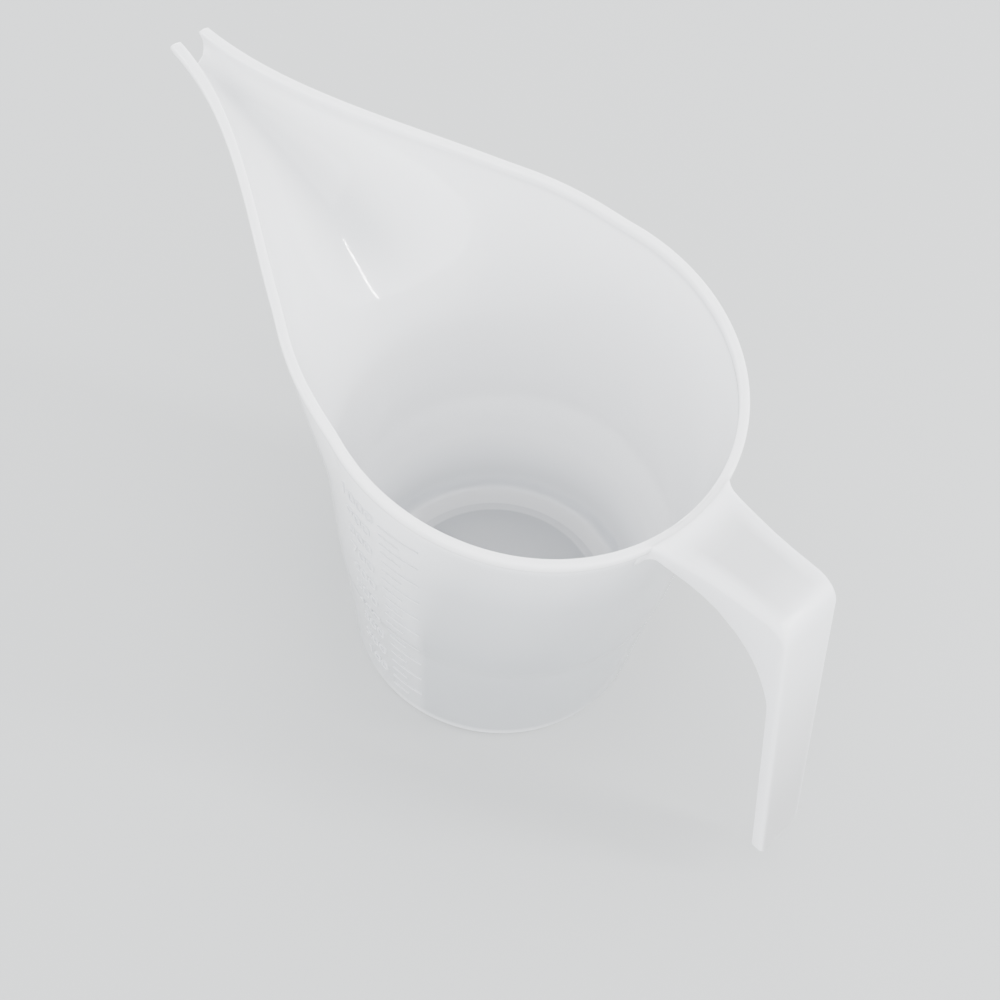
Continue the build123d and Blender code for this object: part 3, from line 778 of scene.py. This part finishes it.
def floor_material():
    """Plain pale studio floor with the faintest mottling."""
    material = bpy.data.materials.new("studio_floor")
    material.use_nodes = True
    tree = material.node_tree
    shader = tree.nodes["Principled BSDF"]
    noise = node(tree, "ShaderNodeTexNoise", Scale=3.0, Detail=2.0)
    ramp = tree.nodes.new("ShaderNodeValToRGB")
    ramp.color_ramp.elements[0].color = (*FLOOR_DARK, 1)
    ramp.color_ramp.elements[1].color = (*FLOOR_LIGHT, 1)
    tree.links.new(noise.outputs["Fac"], ramp.inputs["Fac"])
    tree.links.new(ramp.outputs["Color"], shader.inputs["Base Color"])
    shader.inputs["Roughness"].default_value = 0.85
    shader.inputs["Specular IOR Level"].default_value = 0.2
    return material


def make_stage():
    """A wide pale floor just under the jug's foot."""
    mesh = bpy.data.meshes.new("floor")
    signs = ((-1, -1), (1, -1), (1, 1), (-1, 1))
    corners = [(x * FLOOR_HALF_SIZE, y * FLOOR_HALF_SIZE, 0) for x, y in signs]
    mesh.from_pydata(corners, [], [(0, 1, 2, 3)])
    floor = bpy.data.objects.new("floor", mesh)
    floor.location.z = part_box("foot_ring")[0].z - FLOOR_GAP
    mesh.materials.append(floor_material())
    bpy.context.scene.collection.objects.link(floor)


def direction(azimuth, elevation):
    """Unit vector for an azimuth from the spout's side and an elevation, in degrees."""
    turn, rise = math.radians(azimuth), math.radians(elevation)
    return Vector((math.cos(turn) * math.cos(rise), math.sin(turn) * math.cos(rise), math.sin(rise)))


def keel_point(x):
    """Point on the spout's keel, in metres."""
    return Vector((x, 0, rim_z(x) - keel_drop(x) + WALL)) * MM


def area_light(name, first, last, target, width, power):
    """A soft rectangular lamp from one end point to another, turned towards a target."""
    middle = (first + last) / 2
    long_side = (first - last).normalized()
    back = middle - target
    back = (back - long_side * back.dot(long_side)).normalized()
    data = bpy.data.lights.new(name, "AREA")
    data.shape = "RECTANGLE"
    data.size = width
    data.size_y = (first - last).length
    data.energy = power
    lamp = bpy.data.objects.new(name, data)
    turn = Matrix((long_side.cross(back), long_side, back)).transposed().to_4x4()
    lamp.matrix_world = Matrix.Translation(middle) @ turn
    bpy.context.scene.collection.objects.link(lamp)


def make_light():
    """Soft studio light, mostly from the sides, and one lamp that draws the gloss along the spout."""
    world = bpy.data.worlds.new("studio")
    world.use_nodes = True
    tree = world.node_tree
    sky = tree.nodes["Background"]
    sky.inputs["Color"].default_value = (*SKY_COLOUR, 1)
    place = tree.nodes.new("ShaderNodeTexCoord")
    split = tree.nodes.new("ShaderNodeSeparateXYZ")
    fade = tree.nodes.new("ShaderNodeMapRange")
    fade.inputs["To Min"].default_value = SKY_AT_HORIZON
    fade.inputs["To Max"].default_value = SKY_OVERHEAD
    tree.links.new(place.outputs["Generated"], split.inputs["Vector"])
    tree.links.new(split.outputs["Z"], fade.inputs["Value"])
    tree.links.new(fade.outputs["Result"], sky.inputs["Strength"])
    bpy.context.scene.world = world
    mouth = Vector((0, 0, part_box("upper_wall")[1].z))
    above = mouth + Vector((0, 0, LAMP_DISTANCE))
    along_x = Vector((OVERHEAD_HALF_LENGTH, 0, 0))
    area_light("overhead", above + along_x, above - along_x, mouth, OVERHEAD_WIDTH, OVERHEAD_POWER)
    high, low = (keel_point(x) + direction(azimuth, elevation) * LAMP_DISTANCE
                 for x, azimuth, elevation in (WINDOW_HIGH, WINDOW_LOW))
    area_light("window", high, low, mouth, WINDOW_WIDTH, WINDOW_POWER)


def make_camera():
    """The camera looks down into the cup from the handle's side."""
    place, forward, up = Vector(CAMERA_PLACE), Vector(CAMERA_FORWARD), Vector(CAMERA_UP)
    right = forward.cross(up).normalized()
    up = right.cross(forward).normalized()
    data = bpy.data.cameras.new("camera")
    data.sensor_width = CAMERA_SENSOR
    data.lens = CAMERA_LENS
    camera = bpy.data.objects.new("camera", data)
    turn = Matrix((right, up, -forward.normalized())).transposed().to_4x4()
    camera.matrix_world = Matrix.Translation(place) @ turn
    bpy.context.scene.collection.objects.link(camera)
    bpy.context.scene.camera = camera


def dress(piece, material, nodes):
    """Gives a new piece its material, puts it under the root body and hides the CAD nodes it stands
    for.
    """
    piece.data.materials.append(material)
    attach(piece, "root")
    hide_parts(*nodes)


make_camera()
make_stage()
make_light()

# The thin colours below stand for thinner plastic and for painted shade
body_plastic = polypropylene(
    "body_plastic", light=(0.95, 0.955, 0.975), dark=(0.93, 0.94, 0.965), thin_and_shaded=(0.36, 0.373, 0.387),
    subsurface=0.8, depth=0.006, transmission=0.15, roughness=0.32, coat=1.0)
grip_plastic = polypropylene(
    "grip_plastic", light=(0.92, 0.925, 0.94), dark=(0.90, 0.905, 0.925), thin_and_shaded=(0.36, 0.36, 0.355),
    subsurface=0.8, depth=0.002, transmission=0.10, roughness=0.36, coat=0.08)
scale_plastic = polypropylene(
    "scale_plastic", light=(0.62, 0.63, 0.645), dark=(0.60, 0.61, 0.625), thin_and_shaded=None,
    subsurface=0.0, depth=0.001, transmission=0.0, roughness=0.32, coat=0.3)

dress(make_shell(), body_plastic,
      ("foot_ring", "cup_floor", "lower_wall", "shoulder", "upper_wall", "spout", "rim_bead"))
dress(make_handle(), grip_plastic,
      ("handle_top_plate", "handle_bend", "handle_back_plate",
       "handle_flange_left", "handle_flange_right"))

for name in ("scale_lines", "scale_numerals"):
    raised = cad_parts[name]
    raised.data.materials.clear()
    raised.data.materials.append(scale_plastic)
